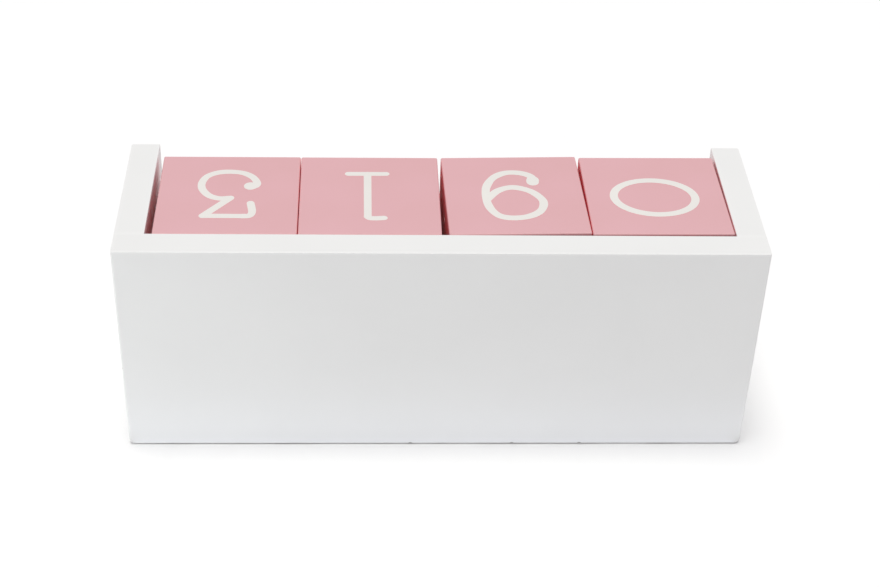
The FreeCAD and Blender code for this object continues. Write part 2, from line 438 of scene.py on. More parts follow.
@dataclass(frozen=True)
class Block:
    """The box that a finish is fitted to: its middle, half sizes, turn about +Z and grain."""

    middle: Vector
    half: Vector
    turn: float = 0.0
    grain: Grain = Grain.ALONG_X

    @classmethod
    def of(cls, node: str, grain: Grain = Grain.ALONG_X) -> "Block":
        """The box round a CAD node that stands square to the frame."""
        low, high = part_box(node)
        return cls((low + high) / 2, (high - low) / 2, grain=grain)


class Coat(Bench):
    """A material's tree, whose patterns are centred on the piece that wears it."""

    def __init__(self, name: str, block: Block) -> None:
        """Starts the material.

        Args:
            name: The material's name.
            block: Where the piece is.
        """
        self.material = bpy.data.materials.new(name)
        self.material.use_nodes = True
        self.material.node_tree.nodes.clear()
        super().__init__(self.material.node_tree)
        self.block = block
        here = self.add("ShaderNodeTexCoord").outputs["Object"]
        self.own = self.laid(here, block.middle, (0.0, 0.0, block.turn))

    def laid(self, place: Socket, middle: Plug, turn: Plug) -> Socket:
        """The place of a point in a frame that has this middle and turn."""
        plugs = {"Vector": place, "Location": middle, "Rotation": turn}
        return self.get("ShaderNodeMapping", plugs, vector_type="TEXTURE")

    def film(self, **sizes: float) -> Outputs:
        """The peel, clouds and nibs of a film over the piece."""
        return PAINT_FILM.place(self, position=self.own, **sizes)

    def band(self, width: float) -> Socket:
        """The band along the edges of the piece's box."""
        limits = {"low": -self.block.half, "high": self.block.half}
        return EDGE_BAND.place(self, position=self.own, width=width, **limits)["Band"]

    def wood(self, **sizes: Plug) -> Outputs:
        """The figure, fibres and pores of the piece's wood."""
        place = self.laid(self.own, (0.0, 0.0, 0.0), self.block.grain.value)
        return WOOD_FIGURE.place(self, position=place, **sizes)

    def layered(self, colour: Plug, layers: Iterable[tuple[Plug, Plug]]) -> Plug:
        """Lays colours over one another.

        Args:
            colour: The lowest one.
            layers: The share and the colour of each one above it.

        Returns:
            The colour that shows.
        """
        for share, tone in layers:
            colour = self.blend(share, colour, tone)
        return colour

    def close(self, plugs: Plugs, height: Socket, depth: float) -> Material:
        """Ends the material in a Principled shader with a Bump node.

        Args:
            plugs: What feeds the shader's inputs.
            height: The bump's height, from 0 to 1.
            depth: The bump's full depth in metres.

        Returns:
            The material.
        """
        bump = self.get("ShaderNodeBump", {"Strength": 1.0, "Distance": depth, "Height": height})
        shader = self.get("ShaderNodeBsdfPrincipled", {**plugs, "Normal": bump})
        self.add("ShaderNodeOutputMaterial", {"Surface": shader})
        return self.material


@dataclass(frozen=True)
class Paint:
    """A coat of paint on wood."""

    label: str
    colour: Colour
    roughness: float = 0.42
    rough_swing: float = 0.03  # how far clouds change the roughness either way
    ior: float = 1.48
    peel_cell: float = 0.9 * MM
    peel_depth: float = 0.012 * MM
    clouding: float = 0.03  # share of the colour that slow clouding changes
    cloud_tint: Colour = (1.0, 1.0, 1.0, 1.0)  # tint of the lighter clouds
    grain_share: float = 0.0  # how much of the wood's grain still shows through
    ring_width: float = 2.4 * MM  # of the wood under the paint
    edge_width: float = 1.6 * MM
    edge_lift: float = 1.02  # brightness of the coat on worn edges
    edge_gloss: float = 0.05  # roughness that worn edges lose
    nib_share: float = 0.35  # how far a dust nib's colour goes towards its shade
    nib_shade: float = 0.86
    nib_rise: float = 0.8  # height of a nib, in peel depths
    chip_share: float = 0.0
    chip_fall: float = -4.0  # depth of a chip, in peel depths
    chip_rough: float = 0.35  # roughness that a chip adds
    bare: Colour = (0.42, 0.30, 0.19, 1.0)
    crevice_shade: Colour | None = None  # painted crevice shade: what a side turns to where its neighbour all but touches it
    crevice_shade_reach: float = 2.5 * MM
    crevice_shade_rays: int = 8  # that feel for the neighbour
    crevice_shade_span: Point = (0.12, 0.6)  # of a point's openness, where the painted crevice shade is full and where it ends
    sideways: Point = (0.8, 0.98)  # of a side's normal along X, where the painted crevice shade may begin and may be full
    bounce: Colour | None = None  # the richer tint of the light that it throws on its neighbours
    bounce_reach: Point = (3 * MM, 10 * MM)  # full up to the first, gone at the second
    foot_shade: float = 0.0  # height of the dark line painted along the foot of a board, a painted contact shadow
    nicks: tuple[float, ...] = ()  # places along the foot where the painted dark line climbs
    nick_size: Point = (0.5 * MM, 1.2 * MM)  # dark up to the first, gone at the second
    foot_shade_cells: float = 70.0  # to a metre, of the noise that breaks the line up
    foot_shade_span: Point = (0.36, 0.6)  # of that noise, for the thinnest and the thickest line
    foot_shade_least: float = 0.35  # height of the thinnest line, as a share of the thickest
    foot_shade_core: float = 0.6  # share of the line's height that is fully dark
    foot_shade_colour: Colour = (0.26, 0.245, 0.225, 1.0)

    def make(self, name: str, block: Block) -> Material:
        """Makes the paint for one piece.

        Args:
            name: The piece's name.
            block: Where the piece is.

        Returns:
            The material.
        """
        coat = Coat(f"{self.label}_{name}", block)
        film = coat.film(cell=self.peel_cell)
        band = coat.band(self.edge_width)
        chip = KNOCKS.place(coat, position=coat.own, band=band, share=self.chip_share)["Chip"]
        light = tuple(a * b for a, b in zip(shaded(self.colour, 1 + self.clouding / 2), self.cloud_tint))
        body = coat.blend(film["Cloud"], shaded(self.colour, 1 - self.clouding / 2), light)
        layers = [
            (band, shaded(self.colour, self.edge_lift)),
            (coat.sum_up("MULTIPLY", film["Nib"], self.nib_share), shaded(self.colour, self.nib_shade)),
            (chip, self.bare),
        ]
        # painted contact shadow: a dark line along the foot of the board
        if self.foot_shade:
            layers.append((self.foot_shaded(coat), self.foot_shade_colour))
        # painted shade: sides that all but touch a neighbour turn the darker crevice colour
        if self.crevice_shade is not None:
            layers.append((self.crevice_shade_share(coat), self.crevice_shade))
        # painted bounce light: diffuse rays from close by see a richer tint than the coat's own colour
        if self.bounce is not None:
            path = coat.add("ShaderNodeLightPath").outputs
            near = coat.remap(path["Ray Length"], self.bounce_reach, (1.0, 0.0))
            layers.append((coat.sum_up("MULTIPLY", path["Is Diffuse Ray"], near), self.bounce))

        swing = (self.roughness - self.rough_swing, self.roughness + self.rough_swing)
        rough = coat.remap(film["Cloud"], (0.0, 1.0), swing)
        worn = coat.sum_up("MULTIPLY_ADD", band, -self.edge_gloss, rough)
        plugs = {
            "Base Color": coat.layered(body, layers),
            "Roughness": coat.sum_up("MULTIPLY_ADD", chip, self.chip_rough, worn, clamp=True),
            "IOR": self.ior,
        }
        figure = coat.wood(ring_width=self.ring_width)["Figure"]
        relief = coat.sum_up("MULTIPLY_ADD", figure, self.grain_share, film["Peel"])
        raised = coat.sum_up("MULTIPLY_ADD", film["Nib"], self.nib_rise, relief)
        return coat.close(plugs, coat.sum_up("MULTIPLY_ADD", chip, self.chip_fall, raised), self.peel_depth)

    def crevice_shade_share(self, coat: Coat) -> Socket:
        """Finds where a left or right side is closed in, for the painted crevice shade.

        Args:
            coat: The material's tree.

        Returns:
            1 where the side all but touches its neighbour, down to 0 in the open.
        """
        reach = {"Distance": self.crevice_shade_reach}
        shelter = coat.add("ShaderNodeAmbientOcclusion", reach, samples=self.crevice_shade_rays)
        closed = coat.remap(shelter.outputs["AO"], self.crevice_shade_span, (1.0, 0.0))
        facing = coat.add("ShaderNodeNewGeometry").outputs["True Normal"]
        side = coat.rise(coat.sum_up("ABSOLUTE", coat.parts(facing)[0]), *self.sideways)
        return coat.sum_up("MULTIPLY", closed, side)

    def foot_shaded(self, coat: Coat) -> Socket:
        """Finds where the painted contact shadow darkens the foot of a board.

        Args:
            coat: The material's tree.

        Returns:
            The painted shade, from 0 to 1.
        """
        half = coat.block.half
        above = coat.parts(coat.vector("SUBTRACT", coat.own, -half))[2]
        breaks = coat.noise(coat.own, self.foot_shade_cells, 2.0, 0.5)
        line = coat.remap(breaks, self.foot_shade_span, (self.foot_shade_least * self.foot_shade, self.foot_shade))
        share = coat.fall(above, coat.sum_up("MULTIPLY", line, self.foot_shade_core), line)
        for place in self.nicks:
            gap = coat.length("DISTANCE", coat.own, Vector((place, half.y, -half.z)))
            share = coat.sum_up("MAXIMUM", share, coat.fall(gap, *self.nick_size))
        return share


@dataclass(frozen=True)
class BareWood:
    """Planed wood without a coat."""

    label: str
    early: Colour = paint_colour(226, 203, 170)
    late: Colour = paint_colour(205, 171, 128)
    heart: Triple = (0.0, 24 * MM, -70 * MM)
    ring_width: float = 3.4 * MM
    sway: float = 6 * MM
    edge_width: float = 1.2 * MM
    cloud_size: float = 60 * MM
    fibre: Point = (0.3, 0.92)  # how far it takes the wood towards a darker shade, and that shade
    pore: Point = (0.3, 0.6)  # likewise, as the next two are
    cloud: Point = (0.25, 0.86)
    edge: Point = (0.25, 0.85)
    pore_fall: float = -0.8  # depth of a pore, as a share of the bump's
    late_rise: float = 0.4  # how far late wood stands out, likewise
    roughness: float = 0.62
    late_gloss: float = 0.08  # roughness that late wood loses
    depth: float = 0.03 * MM

    def make(self, name: str, block: Block) -> Material:
        """Makes the wood for one board.

        Args:
            name: The board's name.
            block: Where the board is.

        Returns:
            The material.
        """
        coat = Coat(f"{self.label}_{name}", block)
        wood = coat.wood(heart=self.heart, ring_width=self.ring_width, sway=self.sway)
        cloud = coat.film(cloud_size=self.cloud_size)["Cloud"]
        band = coat.band(self.edge_width)
        layers = (
            (wood["Figure"], self.late),
            (coat.remap(wood["Fibre"], NOISE_SPAN, (0.0, self.fibre[0])), shaded(self.late, self.fibre[1])),
            (coat.sum_up("MULTIPLY", wood["Pore"], self.pore[0]), shaded(self.late, self.pore[1])),
            (coat.sum_up("MULTIPLY", cloud, self.cloud[0]), shaded(self.early, self.cloud[1])),
            (coat.sum_up("MULTIPLY", band, self.edge[0]), shaded(self.late, self.edge[1])),
        )
        plugs = {
            "Base Color": coat.layered(self.early, layers),
            "Roughness": coat.sum_up("MULTIPLY_ADD", wood["Figure"], -self.late_gloss, self.roughness),
        }
        relief = coat.sum_up("MULTIPLY_ADD", wood["Pore"], self.pore_fall, wood["Fibre"])
        height = coat.sum_up("MULTIPLY_ADD", wood["Figure"], self.late_rise, relief)
        return coat.close(plugs, height, self.depth)


@dataclass(frozen=True)
class PlatedSteel:
    """Bright plated steel with a faint haze."""

    colour: Colour = paint_colour(206, 207, 210)
    haze_shade: float = 0.82
    haze_size: float = 3 * MM
    grit_cell: float = 0.25 * MM
    roughness: Point = (0.20, 0.38)  # in the clear and in the haze
    depth: float = 0.004 * MM

    def make(self, name: str, block: Block) -> Material:
        """Makes the plating for one fitting.

        Args:
            name: The fitting's name.
            block: Where the fitting is.

        Returns:
            The material.
        """
        coat = Coat(f"bright_steel_{name}", block)
        film = coat.film(cell=self.grit_cell, cloud_size=self.haze_size)
        plugs = {
            "Base Color": coat.blend(film["Cloud"], self.colour, shaded(self.colour, self.haze_shade)),
            "Roughness": coat.remap(film["Cloud"], (0.0, 1.0), self.roughness),
            "Metallic": 1.0,
        }
        return coat.close(plugs, film["Peel"], self.depth)


@dataclass(frozen=True)
class BackdropPaper:
    """Pale seamless paper under the calendar."""

    colour: Colour = (0.926, 0.926, 0.926, 1.0)
    tooth_cells: float = 900.0  # to a metre
    tooth_shade: float = 0.995
    roughness: float = 0.7
    sheen: float = 0.2  # strength of its mirror reflection, where half is usual
    depth: float = 0.01 * MM

    def make(self, name: str, block: Block) -> Material:
        """Makes the paper.

        Args:
            name: The material's name.
            block: Where the paper is.

        Returns:
            The material.
        """
        coat = Coat(name, block)
        tooth = coat.noise(coat.own, self.tooth_cells, 2.0, 0.5)
        colour = coat.blend(tooth, shaded(self.colour, self.tooth_shade), self.colour)
        plugs = {"Base Color": colour, "Roughness": self.roughness, "Specular IOR Level": self.sheen}
        return coat.close(plugs, tooth, self.depth)


WHITE_PAINT = Paint(
    "white_paint",
    colour=(0.80, 0.80, 0.79, 1.0),
    roughness=0.38,
    peel_cell=0.95 * MM,
    peel_depth=0.014 * MM,
    clouding=0.02,
    grain_share=0.25,
    chip_share=0.16,
)
# a painted contact shadow along the foot of the side and back boards
CASE_PAINT = replace(WHITE_PAINT, foot_shade=0.5 * MM)
BACK_PAINT = replace(CASE_PAINT, nicks=(9.9 * MM, -27.8 * MM, -52.9 * MM))
PINK_PAINT = Paint(
    "pink_paint",
    colour=(0.691, 0.395, 0.412, 1.0),
    roughness=0.55,
    peel_cell=0.7 * MM,
    peel_depth=0.010 * MM,
    clouding=0.05,
    cloud_tint=(0.99, 1.0, 1.03, 1.0),
    grain_share=0.5,
    edge_width=1.2 * MM,
    edge_lift=1.03,
    chip_share=0.10,
    bare=(0.62, 0.46, 0.34, 1.0),
    # painted shade in the narrow slots between the cubes
    crevice_shade=(0.72, 0.16, 0.20, 1.0),
    # painted bounce light, a strong red that only close diffuse rays see
    bounce=(1.15, 0.03, 0.06, 1.0),
)
NUMBER_PAINT = Paint(
    "number_paint",
    colour=(0.765, 0.745, 0.708, 1.0),
    roughness=0.5,
    peel_cell=0.5 * MM,
    clouding=0.06,
    grain_share=0.3,
    # painted bounce light: the numbers throw red light on close neighbours
    bounce=(0.9, 0.04, 0.06, 1.0),
)
DRAWER_WOOD = BareWood("pale_wood")
FLOOR_PLY = BareWood(
    "pale_ply",
    early=paint_colour(228, 209, 178),
    late=paint_colour(214, 187, 149),
    heart=(0.06, 10 * MM, -30 * MM),
    ring_width=5.5 * MM,
    sway=16 * MM,
)
STEEL = PlatedSteel()
PAPER = BackdropPaper()


def dress(node: str, material: Material) -> None:
    """Puts a material on a CAD node.

    Args:
        node: The node's name.
        material: What all its surfaces get.
    """
    item = frame["nodes"][node]
    if not item.material_slots:
        item.data.materials.append(material)
    for slot in item.material_slots:
        slot.material = material
    log.info("%s: %s", node, material.name)


# ---- numbers ----


class Line(Enum):
    """How a stroke runs through its points."""

    CURVED = "a smooth line through the points"
    STRAIGHT = "straight runs between the points"
    RING = "a smooth closed line"


@dataclass(frozen=True)
class Stroke:
    """One line of a number, in millimetres from the middle of its face, as it is read."""

    line: Line
    half_width: float
    points: tuple[Point, ...]


def curve(half_width: float, *points: Point) -> Stroke:
    """A smooth line through points."""
    return Stroke(Line.CURVED, half_width, points)


def bar(half_width: float, *points: Point) -> Stroke:
    """Straight runs between points, with round corners and ends; one point gives a ball."""
    return Stroke(Line.STRAIGHT, half_width, points)


def oval(half_width: float, across: float, up: float, middle: Point, lean: float = 0.0) -> Stroke:
    """A closed oval line.

    Args:
        half_width: Half the line's width.
        across: Half the oval's width.
        up: Half the oval's height.
        middle: Its middle.
        lean: Degrees that its top leans to the right.

    Returns:
        The stroke.
    """
    upright = Matrix.Rotation(math.radians(-lean), 2)
    steps = [2 * math.pi * i / OVAL_CORNERS for i in range(OVAL_CORNERS)]
    points = [upright @ Vector((across * math.cos(a), up * math.sin(a))) + Vector(middle) for a in steps]
    return Stroke(Line.RING, half_width, tuple((p.x, p.y) for p in points))


OVAL_CORNERS = 12
NUMBERS: dict[int, tuple[Stroke, ...]] = {
    0: (oval(1.47, 11.0, 14.7, (-0.3, 0.1), 3.0),),
    1: (
        curve(1.35, (-4.9, 14.85), (-2.0, 15.1), (0.1, 14.9), (0.75, 14.0)),
        bar(1.42, (0.75, 14.0), (0.75, -13.5)),
        bar(1.3, (-5.95, -13.55), (7.7, -13.5)),
    ),
    2: (
        bar(2.3, (-7.6, 8.0)),
        curve(1.4, (-8.0, 8.0), (-8.6, 9.6), (-7.0, 13.2), (-2.5, 15.0), (2.5, 15.0), (7.6, 12.6), (9.4, 8.2),
              (8.2, 3.8), (4.5, -0.6), (-0.5, -4.6), (-5.2, -8.6), (-8.0, -11.6), (-9.2, -13.5)),
        bar(1.35, (-9.2, -13.6), (6.5, -13.6)),
        curve(1.35, (6.3, -13.6), (8.6, -13.2), (9.0, -11.0), (8.3, -8.0)),
    ),
    3: (
        curve(1.4, (-8.1, 5.9), (-8.6, 8.8), (-8.9, 11.6), (-8.0, 13.8), (-5.5, 14.05)),
        bar(1.38, (-5.7, 14.05), (8.1, 13.95)),
        bar(1.45, (8.2, 13.95), (-0.7, 2.8)),
        curve(1.4, (-0.8, 2.6), (3.2, 2.95), (6.9, 1.1), (9.4, -2.8), (9.9, -7.0), (8.3, -11.3), (4.7, -13.8),
              (0.2, -14.5), (-4.6, -13.6), (-8.0, -11.0), (-9.8, -7.4), (-9.4, -5.3), (-7.5, -4.8)),
        bar(2.45, (-7.6, -5.1)),
    ),
    4: (
        bar(1.4, (4.0, 14.6), (4.0, -13.5)),
        bar(1.4, (4.0, 14.6), (-9.8, -4.6), (10.2, -4.6)),
        bar(1.3, (-0.6, -13.6), (8.6, -13.6)),
    ),
    5: (
        bar(1.4, (7.6, 13.6), (-6.4, 13.6), (-7.2, 1.4)),
        curve(1.4, (-7.2, 1.4), (-3.5, 3.8), (1.2, 4.4), (6.6, 2.6), (9.8, -2.2), (9.9, -7.4), (7.2, -12.0),
              (2.6, -14.6), (-2.6, -14.6), (-6.8, -12.4), (-9.0, -8.8), (-8.6, -6.3), (-7.0, -6.2)),
        bar(2.3, (-7.0, -6.4)),
    ),
    6: (
        curve(1.52, (-9.8, -3.0), (-5.9, 2.1), (-0.6, 4.35), (5.2, 2.3), (8.9, -2.1), (9.95, -6.2),
              (8.2, -11.1), (3.9, -14.25), (-1.5, -15.2), (-6.0, -14.1), (-8.6, -10.9), (-10.0, -6.5),
              (-10.3, -1.65), (-9.8, 4.4), (-7.4, 9.9), (-4.0, 13.1), (-0.2, 14.25), (4.2, 13.5), (7.2, 11.3),
              (7.7, 8.3)),
        bar(2.25, (7.55, 9.3), (7.4, 7.7)),
    ),
    7: (
        curve(1.35, (-7.9, 7.4), (-8.8, 11.0), (-8.0, 13.3), (-6.0, 13.7)),
        bar(1.35, (-6.2, 13.7), (9.4, 13.6)),
        curve(1.4, (9.4, 13.6), (3.2, 1.5), (-0.4, -6.5), (-1.6, -14.4)),
    ),
    8: (
        oval(1.47, 7.6, 7.0, (0.0, 8.0)),
        oval(1.47, 9.9, 8.2, (0.0, -6.6)),
    ),
}


def smooth_point(knots: Sequence[Vector], share: float) -> Vector:
    """Finds a point on the smooth line through four knots.

    Args:
        knots: The four, in order.
        share: How far the point is from the second to the third, from 0 to 1.

    Returns:
        The point.
    """
    a, b, c, d = knots
    bend = 2 * a - 5 * b + 4 * c - d
    twist = 3 * b - a - 3 * c + d
    return 0.5 * (2 * b + (c - a) * share + bend * share * share + twist * share ** 3)


@dataclass(frozen=True)
class NumberStencil:
    """Cuts a number out of its strokes, as a thin slab of paint."""

    step: float = 0.55  # millimetres between the points of a smooth line
    round_corners: int = 24  # of a stroke's round end
    wobble: float = 0.045  # share of a stroke's width that the hand adds or takes
    waves: int = 3  # that the wobble of a stroke is made of
    wave_rates: Point = (0.25, 0.9)  # radians to a millimetre, lowest and highest
    merge: float = 1e-4  # millimetres within which two corners are one
    seed: int = 11

    def centreline(self, stroke: Stroke) -> list[Vector]:
        """Fills in a stroke's line.

        Args:
            stroke: The stroke.

        Returns:
            Points along it, near one another where it is smooth.
        """
        knots = [Vector(p) for p in stroke.points]
        if stroke.line is Line.STRAIGHT or len(knots) < 3:
            return knots
        ring = stroke.line is Line.RING
        if ring:
            padded = [knots[-1], *knots, *knots[:2]]
        else:
            padded = [knots[0] * 2 - knots[1], *knots, knots[-1] * 2 - knots[-2]]
        line: list[Vector] = []
        for four in zip(padded, padded[1:], padded[2:], padded[3:]):
            pieces = max(2, round((four[2] - four[1]).length / self.step))
            line.extend(smooth_point(four, k / pieces) for k in range(pieces))
        line.append(line[0].copy() if ring else knots[-1])
        return line

    def ribbon(self, line: Sequence[Vector], stroke: Stroke, hand: random.Random) -> list[list[Vector]]:
        """Covers a line with triangles, a little uneven in width.

        Args:
            line: The stroke's line.
            stroke: The stroke.
            hand: Where its unevenness comes from.

        Returns:
            The triangles.
        """
        ring = stroke.line is Line.RING
        waves = [(hand.uniform(*self.wave_rates), hand.uniform(0, 2 * math.pi)) for _ in range(self.waves)]
        befores = [line[-2] if ring else line[0], *line]
        afters = [*line[1:], line[1] if ring else line[-1]]
        sides: list[tuple[Vector, Vector]] = []
        travelled = 0.0
        for before, here, after in zip(befores, line, afters):
            travelled += (here - before).length
            if ring:
                swell = math.sin(math.atan2(here.y, here.x) * 2 + waves[0][1])
            else:
                swell = sum(math.sin(rate * travelled + phase) for rate, phase in waves) / self.waves
            heading = after - before
            across = Vector((-heading.y, heading.x)).normalized()
            half = stroke.half_width * (1 + self.wobble * swell)
            sides.append((here + across * half, here - across * half))
        if ring:
            sides[-1] = sides[0]
        return [half for (a, b), (c, d) in zip(sides, sides[1:]) for half in ([b, d, a], [d, c, a])]

    def slabs(self, stroke: Stroke, hand: random.Random) -> list[list[Vector]]:
        """Covers a stroke with simple polygons.

        Args:
            stroke: The stroke.
            hand: Where its unevenness comes from.

        Returns:
            Polygons that overlap or touch.
        """
        line = self.centreline(stroke)
        cover = self.ribbon(line, stroke, hand)
        if stroke.line is Line.STRAIGHT and len(line) > 2:
            cover = []
            for start, end in zip(line, line[1:]):
                across = Vector((start.y - end.y, end.x - start.x)).normalized() * stroke.half_width
                cover.append([start + across, start - across, end - across, end + across])
        ends = {Line.STRAIGHT: line, Line.CURVED: [line[0], line[-1]], Line.RING: []}
        turns = [2 * math.pi * k / self.round_corners for k in range(self.round_corners)]
        for middle in ends[stroke.line]:
            cover.append([middle + Vector((math.cos(a), math.sin(a))) * stroke.half_width for a in turns])
        return cover

    def cut(self, number: int) -> Mesh:
        """Joins a number's strokes into one closed slab, from z 0 to z 1, in metres across.

        Args:
            number: The number to cut.

        Returns:
            The slab's mesh.
        """
        hand = random.Random(self.seed + number)
        corners: list[Vector] = []
        polygons: list[list[int]] = []
        for stroke in NUMBERS[number]:
            for slab in self.slabs(stroke, hand):
                polygons.append(list(range(len(corners), len(corners) + len(slab))))
                corners.extend(slab if self.area(slab) > 0 else slab[::-1])
        flat, _, triangles, _, _, origins = delaunay_2d_cdt(corners, [], polygons, 0, self.merge, True)
        kept = [list(t) for t, origin in zip(triangles, origins) if origin]
        kept = [t if self.area([flat[i] for i in t]) > 0 else t[::-1] for t in kept]
        runs = [(t[k], t[(k + 1) % len(t)]) for t in kept for k in range(len(t))]
        known = set(runs)
        rim = [(a, b) for a, b in runs if (b, a) not in known]
        used = sorted({i for t in kept for i in t})
        place = {old: new for new, old in enumerate(used)}
        count = len(used)
        verts = [(flat[i][0] * MM, flat[i][1] * MM, z) for z in (1.0, 0.0) for i in used]
        faces = [[place[i] for i in t] for t in kept]
        faces += [[place[i] + count for i in reversed(t)] for t in kept]
        faces += [[place[b], place[a], place[a] + count, place[b] + count] for a, b in rim]
        mesh = bpy.data.meshes.new(f"number_{number}")
        mesh.from_pydata(verts, [], faces)
        mesh.update()
        return mesh

    @staticmethod
    def area(corners: Sequence[Vector]) -> float:
        """Twice a polygon's area, positive if its corners run counter-clockwise."""
        return sum(a[0] * b[1] - b[0] * a[1] for a, b in zip(corners, [*corners[1:], corners[0]]))


class Face(Enum):
    """A cube's faces: which way each looks, and the degrees that stand a number on it."""

    TOP = ((0, 0, 1), (0, 0, 0))
    UNDER = ((0, 0, -1), (180, 0, 0))
    FRONT = ((0, -1, 0), (90, 0, 0))
    BACK = ((0, 1, 0), (90, 0, 180))
    RIGHT = ((1, 0, 0), (90, 0, 90))
    LEFT = ((-1, 0, 0), (90, 0, -90))


@dataclass(frozen=True)
class Print:
    """One number on one face."""

    face: Face
    number: int
    turn: float = 0.0  # degrees, counter-clockwise to the reader
    nudge: Point = (0.0, 0.0)  # millimetres, along the frame's own axes on the top
    loose: float = 1.0  # how far the print may stray by itself

    def facing(self) -> Euler:
        """The turn that takes the number from lying flat to its face."""
        stand = Euler([math.radians(a) for a in self.face.value[1]]).to_matrix()
        return (stand @ Matrix.Rotation(math.radians(self.turn), 3, "Z")).to_euler()

    def shift(self) -> Vector:
        """The nudge in metres, along the number's own axes."""
        back = Matrix.Rotation(math.radians(-self.turn), 3, "Z")
        return back @ Vector((self.nudge[0] * MM, self.nudge[1] * MM, 0.0))


class NumberPrinter:
    """Sets numbers on cubes' faces with Geometry Nodes."""

    inputs: dict[str, tuple[str, Plug]] = {
        "Cube Edge": (FLOAT, 50 * MM),
        "Paint Thickness": (FLOAT, 0.06 * MM),
        "Paint Sunk": (FLOAT, 0.1 * MM),
        "Stray": (FLOAT, 0.35 * MM),
        "Seed": ("NodeSocketInt", 3),
        "Cube Centre": (VECTOR, None),
        "Cube Turn": (FLOAT, 0.0),
        "Numbers": ("NodeSocketCollection", None),
        "Paint": ("NodeSocketMaterial", None),
    }

    def __init__(self, stencil: NumberStencil) -> None:
        """Cuts every number and builds the tree.

        Args:
            stencil: What cuts the numbers.
        """
        self.stock = bpy.data.collections.new("number_stock")
        for number in sorted(NUMBERS):
            self.stock.objects.link(bpy.data.objects.new(f"number_{number}", stencil.cut(number)))
        self.tree = self.build()

    def build(self) -> NodeTree:
        """Builds the tree.

        Returns:
            The Geometry Nodes tree.
        """
        tree = bpy.data.node_groups.new("Cube Numbers", "GeometryNodeTree")
        tree.interface.new_socket(name="Geometry", in_out="INPUT", socket_type="NodeSocketGeometry")
        add_inputs(tree, self.inputs)
        tree.interface.new_socket(name="Geometry", in_out="OUTPUT", socket_type="NodeSocketGeometry")
        bench = Bench(tree)
        given = bench.add("NodeGroupInput").outputs

        outward = bench.get("GeometryNodeInputPosition")
        half = bench.sum_up("MULTIPLY", given["Cube Edge"], 0.5)
        on_face = bench.scaled(outward, bench.sum_up("SUBTRACT", half, given["Paint Sunk"]))
        limits = {0: (-1.0, -1.0, 0.0), 1: (1.0, 1.0, 0.0), "Seed": given["Seed"]}
        spread = bench.get("FunctionNodeRandomValue", limits, data_type="FLOAT_VECTOR")
        reach = bench.sum_up("MULTIPLY", bench.mark("loose", "FLOAT"), given["Stray"])
        shift = bench.vector("ADD", bench.mark("nudge", "FLOAT_VECTOR"), bench.scaled(spread, reach))
        facing = bench.get("FunctionNodeEulerToRotation", {0: bench.mark("facing", "FLOAT_VECTOR")})
        along = bench.get("FunctionNodeRotateVector", {0: shift, 1: facing})
        spots = {"Geometry": given["Geometry"], "Position": bench.vector("ADD", on_face, along)}

        children = {"Collection": given["Numbers"], "Separate Children": True, "Reset Children": True}
        depth = bench.sum_up("ADD", given["Paint Sunk"], given["Paint Thickness"])
        setting = {
            "Points": bench.get("GeometryNodeSetPosition", spots),
            "Instance": bench.get("GeometryNodeCollectionInfo", children),
            "Pick Instance": True,
            "Instance Index": bench.mark("number", "INT"),
            "Rotation": facing,
            "Scale": bench.joined(1.0, 1.0, depth),
        }
        set_out = bench.get("GeometryNodeInstanceOnPoints", setting)
        real = bench.get("GeometryNodeRealizeInstances", {0: set_out})
        turn = bench.joined(0.0, 0.0, given["Cube Turn"])
        place = {"Geometry": real, "Translation": given["Cube Centre"], "Rotation": turn}
        coat = {"Geometry": bench.get("GeometryNodeTransform", place), "Material": given["Paint"]}
        bench.add("NodeGroupOutput", {0: bench.get("GeometryNodeSetMaterial", coat)})
        return tree

    def print_on(self, name: str, prints: Sequence[Print], values: dict[str, Plug]) -> Object:
        """Prints one cube's numbers.

        Args:
            name: The new piece's name.
            prints: What goes on each face.
            values: The tree's inputs for this cube.

        Returns:
            The numbers as one plain mesh piece.
        """
        seeds = bpy.data.meshes.new(f"{name}_seeds")
        seeds.from_pydata([p.face.value[0] for p in prints], [], [])
        marks = {
            "number": ("INT", "value", [p.number for p in prints]),
            "loose": ("FLOAT", "value", [p.loose for p in prints]),
            "facing": ("FLOAT_VECTOR", "vector", [a for p in prints for a in p.facing()]),
            "nudge": ("FLOAT_VECTOR", "vector", [a for p in prints for a in p.shift()]),
        }
        for mark, (kind, part, numbers) in marks.items():
            seeds.attributes.new(mark, kind, "POINT").data.foreach_set(part, numbers)
        maker = add_object(f"{name}_maker", seeds)
        modifier = maker.modifiers.new("Cube Numbers", "NODES")
        modifier.node_group = self.tree
        values = {**values, "Numbers": self.stock}
        for item in self.tree.interface.items_tree:
            if item.in_out == "INPUT" and item.name in values:
                modifier[item.identifier] = values[item.name]
        graph = bpy.context.evaluated_depsgraph_get()
        mesh = bpy.data.meshes.new_from_object(maker.evaluated_get(graph))
        mesh.name = name
        bpy.data.objects.remove(maker)
        for mark in marks:
            if mark in mesh.attributes:
                mesh.attributes.remove(mesh.attributes[mark])
        return add_object(name, mesh)

    def clear_up(self) -> None:
        """Removes the cut numbers that the prints were made from."""
        for item in list(self.stock.objects):
            bpy.data.objects.remove(item)
        bpy.data.collections.remove(self.stock)


# ---- the calendar ----


@dataclass(frozen=True)
class Wooden:
    """A wooden piece: its CAD node, its finish and the way its grain runs."""

    node: str
    finish: Paint | BareWood
    grain: Grain = Grain.ALONG_X


@dataclass
class Joinery:
    """Wooden pieces and the metal that holds them."""

    wood: tuple[Wooden, ...]
    metal: tuple[str, ...]

    def build(self) -> None:
        """Finishes the wood and plates the metal."""
        for piece in self.wood:
            dress(piece.node, piece.finish.make(piece.node, Block.of(piece.node, piece.grain)))
        for fitting in self.metal:
            dress(fitting, STEEL.make(fitting, Block.of(fitting)))


